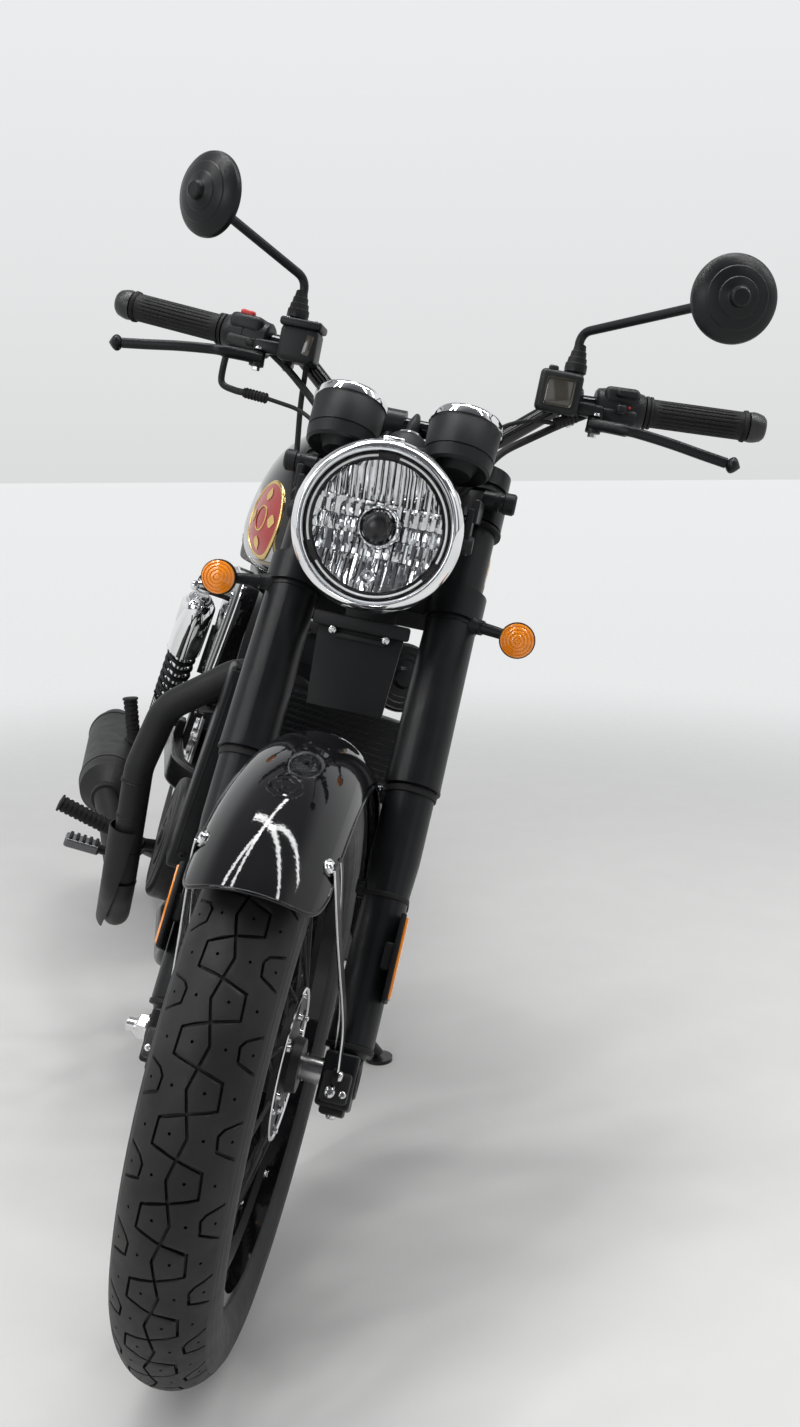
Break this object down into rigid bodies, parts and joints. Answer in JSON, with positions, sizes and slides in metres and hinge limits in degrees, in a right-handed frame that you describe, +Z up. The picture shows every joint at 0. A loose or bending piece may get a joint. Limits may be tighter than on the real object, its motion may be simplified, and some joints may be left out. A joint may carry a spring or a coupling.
{
  "type": "retro motorcycle",
  "caption": "Upright road motorcycle with spoked wheels, a round headlamp, twin dials, high mudguards and a round tank, leaning on its side stand.",
  "frame": {"origin": "middle of the ground under the leaning machine, at the centre of its outline seen from above", "axes": "+Z up, -Y forwards the way the motorcycle faces, +X to the rider's left, the side it leans to"},
  "size_m": [0.9126, 2.1253, 1.2702],
  "materials": {
    "frame_paint": "satin",
    "gloss_black": "gloss",
    "tank_paint": "gloss",
    "satin_black": "satin",
    "engine_black": "satin",
    "cast_alloy": "satin",
    "bright_chrome": "polished",
    "steel": "brushed",
    "black_rubber": "matte",
    "tyre_rubber": "matte",
    "black_plastic": "matte",
    "amber_lamp": "gloss",
    "lamp_glass": "clear",
    "seat_cover": "satin"
  },
  "bodies": {
    "frame": {"main_frame": "frame_paint", "subframe": "frame_paint", "crankcase": "engine_black", "cylinder": "cast_alloy", "cylinder_head": "cast_alloy", "engine_covers": "cast_alloy", "airbox": "black_plastic", "radiator": "cast_alloy", "fuel_tank": "tank_paint", "fuel_cap": "bright_chrome", "seat": "seat_cover", "side_covers": "gloss_black", "rear_mudguard": "gloss_black", "tail_lights": "amber_lamp", "swingarm": "frame_paint", "rear_axle": "steel", "rear_shocks": "steel", "shock_springs": "steel", "rear_caliper": "cast_alloy", "exhaust_header": "satin_black", "muffler": "satin_black", "heat_shield": "satin_black", "drive_chain": "steel", "chain_guard": "satin_black", "rider_pegs": "black_rubber", "passenger_pegs": "black_rubber", "brake_pedal": "steel", "gear_lever": "steel"},
    "steering": {"fork_legs": "satin_black", "fork_covers": "satin_black", "fork_yokes": "satin_black", "headlamp_ring": "bright_chrome", "headlamp_lens": "lamp_glass", "headlamp_shell": "satin_black", "under_lamp_panel": "black_plastic", "gauges": "black_plastic", "handlebar": "gloss_black", "grips": "black_rubber", "switch_housings": "black_plastic", "control_perches": "satin_black", "hand_levers": "satin_black", "mirrors": "satin_black", "front_indicators": "amber_lamp", "front_mudguard": "gloss_black", "mudguard_stays": "satin_black", "front_caliper": "cast_alloy", "front_axle": "steel", "control_cables": "black_rubber", "brake_hose": "black_rubber", "wiring": "black_rubber"},
    "front_wheel": {"front_tyre": "tyre_rubber", "front_rim": "gloss_black", "front_hub": "cast_alloy", "front_brake_disc": "steel"},
    "rear_wheel": {"rear_tyre": "tyre_rubber", "rear_rim": "gloss_black", "rear_hub": "cast_alloy", "rear_brake_disc": "steel", "rear_sprocket": "steel"},
    "side_stand": {"side_stand": "frame_paint"}
  },
  "joints": [
    {"name": "steering", "type": "hinge", "parent": "frame", "child": "steering", "pos_m": [-0.1884, -0.70772, 0.28618], "axis": [0.3061, 0.4489, 0.8395], "range_deg": [-17, 53]},
    {"name": "front_wheel_spin", "type": "hinge", "parent": "steering", "child": "front_wheel", "pos_m": [-0.19634, -0.75413, 0.31388], "axis": [0.9409, -0.2772, -0.1948], "continuous": true},
    {"name": "rear_wheel_spin", "type": "hinge", "parent": "frame", "child": "rear_wheel", "pos_m": [-0.17938, 0.66846, 0.30659], "axis": [0.9397, -0.0011, -0.342], "continuous": true},
    {"name": "side_stand_fold", "type": "hinge", "parent": "frame", "child": "side_stand", "pos_m": [-0.09168, -0.11693, 0.18458], "axis": [0.9341, 0.1543, 0.3219], "range_deg": [0, 95.9]}
  ]
}
